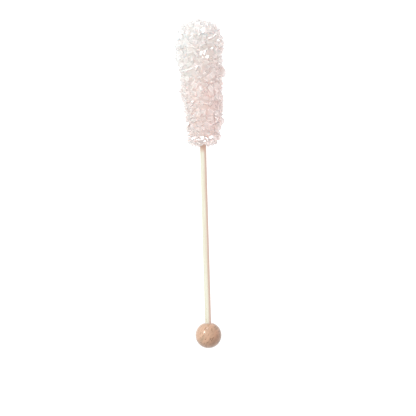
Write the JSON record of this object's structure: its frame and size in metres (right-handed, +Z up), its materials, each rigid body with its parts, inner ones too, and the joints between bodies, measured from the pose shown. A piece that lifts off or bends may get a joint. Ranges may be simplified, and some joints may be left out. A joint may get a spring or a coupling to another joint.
{
  "type": "rock candy stick",
  "caption": "Rough cluster of pale sugar crystals grown round one end of a slim birch dowel, with a turned beech ball as the handle on the other end, lying on its side.",
  "frame": {"origin": "on the surface the stick lies on, under the middle of its bounding box", "axes": "+Y along the stick from the ball to the candy, +Z up, +X to the right seen from above with the candy away from the viewer"},
  "size_m": [0.0248, 0.1632, 0.0238],
  "materials": {
    "sugar": "pale, milky sugar crystals with glossy flat faces and clear, sparkling edges",
    "birch": "bare sanded birch, stained light brown by syrup next to the candy",
    "beech": "varnished turned beech with short dark flecks"
  },
  "bodies": {
    "root": {"rock_candy": "sugar", "dowel": "birch", "ball": "beech"}
  },
  "joints": []
}
